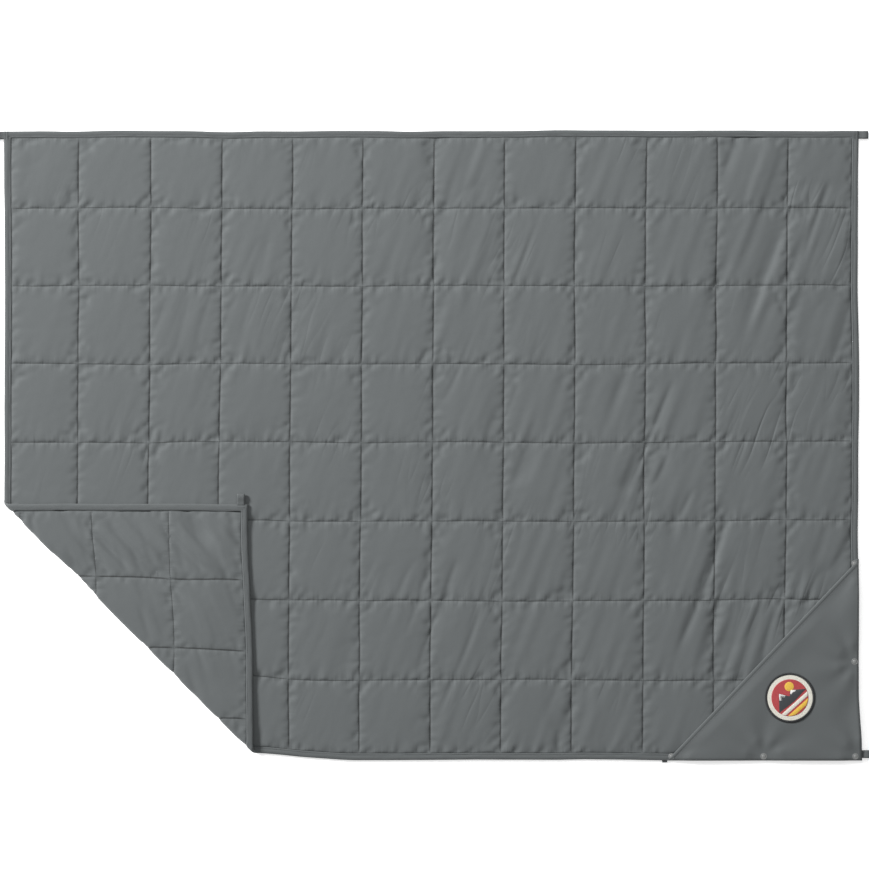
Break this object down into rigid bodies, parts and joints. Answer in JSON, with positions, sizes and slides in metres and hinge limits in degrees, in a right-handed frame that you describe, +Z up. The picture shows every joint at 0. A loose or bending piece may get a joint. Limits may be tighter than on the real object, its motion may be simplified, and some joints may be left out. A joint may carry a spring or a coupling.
{
  "type": "camp blanket",
  "caption": "Quilted camp blanket with bound edges and corner loops, one corner folded over, and a plain triangular panel snapped over another corner.",
  "frame": {"origin": "middle of the footprint, on the ground", "axes": "+X along the long side, +Y towards the top edge, +Z up out of the face"},
  "size_m": [1.8198, 1.312, 0.0205],
  "materials": {
    "shell_cloth": "satin",
    "panel_cloth": "satin",
    "binding_tape": "matte",
    "loop_tape": "matte",
    "thread": "matte",
    "filling": "matte",
    "badge_ground": "matte",
    "badge_rim": "matte",
    "snap_resin": "satin"
  },
  "bodies": {
    "right_half": {"face_cloth_right": "shell_cloth", "back_cloth_right": "shell_cloth", "filling_right": "filling", "quilting_thread_right": "thread", "binding_right_right": "binding_tape", "binding_right_bottom": "binding_tape", "binding_right_top": "binding_tape", "binding_stitch_right": "thread", "loop_tails_top_right": "loop_tape", "loop_tails_bottom_right": "loop_tape", "loop_tacks_top_right": "thread", "loop_tacks_bottom_right": "thread", "panel_strip": "panel_cloth", "snap_caps_strip": "snap_resin", "snap_sockets_strip": "snap_resin", "snap_studs": "snap_resin"},
    "left_half": {"face_cloth_left": "shell_cloth", "back_cloth_left": "shell_cloth", "filling_left": "filling", "quilting_thread_left": "thread", "binding_left_left": "binding_tape", "binding_left_bottom": "binding_tape", "binding_left_top": "binding_tape", "binding_stitch_left": "thread", "loop_tails_top_left": "loop_tape", "loop_tacks_top_left": "thread", "fold_bend": "shell_cloth"},
    "folded_corner": {"face_cloth_corner": "shell_cloth", "back_cloth_corner": "shell_cloth", "filling_corner": "filling", "quilting_thread_corner": "thread", "binding_corner_right": "binding_tape", "binding_corner_top": "binding_tape", "binding_stitch_corner": "thread", "loop_tails_folded": "loop_tape", "loop_tacks_folded": "thread"},
    "corner_panel": {"panel_cloth": "panel_cloth", "panel_mouth_hem": "panel_cloth", "panel_mouth_stitch": "thread", "badge_patch": "badge_ground", "badge_rim": "badge_rim", "snap_caps_panel": "snap_resin", "snap_sockets_panel": "snap_resin"},
    "top_right_loop": {"loop_top_right": "loop_tape"},
    "bottom_right_loop": {"loop_bottom_right": "loop_tape"},
    "top_left_loop": {"loop_top_left": "loop_tape"},
    "folded_loop": {"loop_folded": "loop_tape"}
  },
  "joints": [
    {"name": "half_fold", "type": "hinge", "parent": "right_half", "child": "left_half", "pos_m": [0, 0, 0.022], "axis": [0, 1, 0], "range_deg": [0, 179.5]},
    {"name": "corner_fold", "type": "hinge", "parent": "left_half", "child": "folded_corner", "pos_m": [-0.617, -0.383, 0.01025], "axis": [0.7071, -0.7071, 0], "range_deg": [0, 179.5], "deforming": ["fold_bend"]},
    {"name": "panel_lift", "type": "hinge", "parent": "right_half", "child": "corner_panel", "pos_m": [0.69, -0.6355, 0.0133], "axis": [1, 0, 0], "range_deg": [0, 179.5]},
    {"name": "top_right_loop_flex", "type": "hinge", "parent": "right_half", "child": "top_right_loop", "pos_m": [0.8914, 0.6475, 0.005], "axis": [0, -1, 0], "range_deg": [0, 60]},
    {"name": "bottom_right_loop_flex", "type": "hinge", "parent": "right_half", "child": "bottom_right_loop", "pos_m": [0.8914, -0.643, 0.005], "axis": [0, -1, 0], "range_deg": [0, 60]},
    {"name": "top_left_loop_flex", "type": "hinge", "parent": "left_half", "child": "top_left_loop", "pos_m": [-0.8914, 0.6475, 0.005], "axis": [0, 1, 0], "range_deg": [0, 60]},
    {"name": "folded_loop_flex", "type": "hinge", "parent": "folded_corner", "child": "folded_loop", "pos_m": [-0.3845, -0.1196, 0.0155], "axis": [1, 0, 0], "range_deg": [0, 60]}
  ]
}
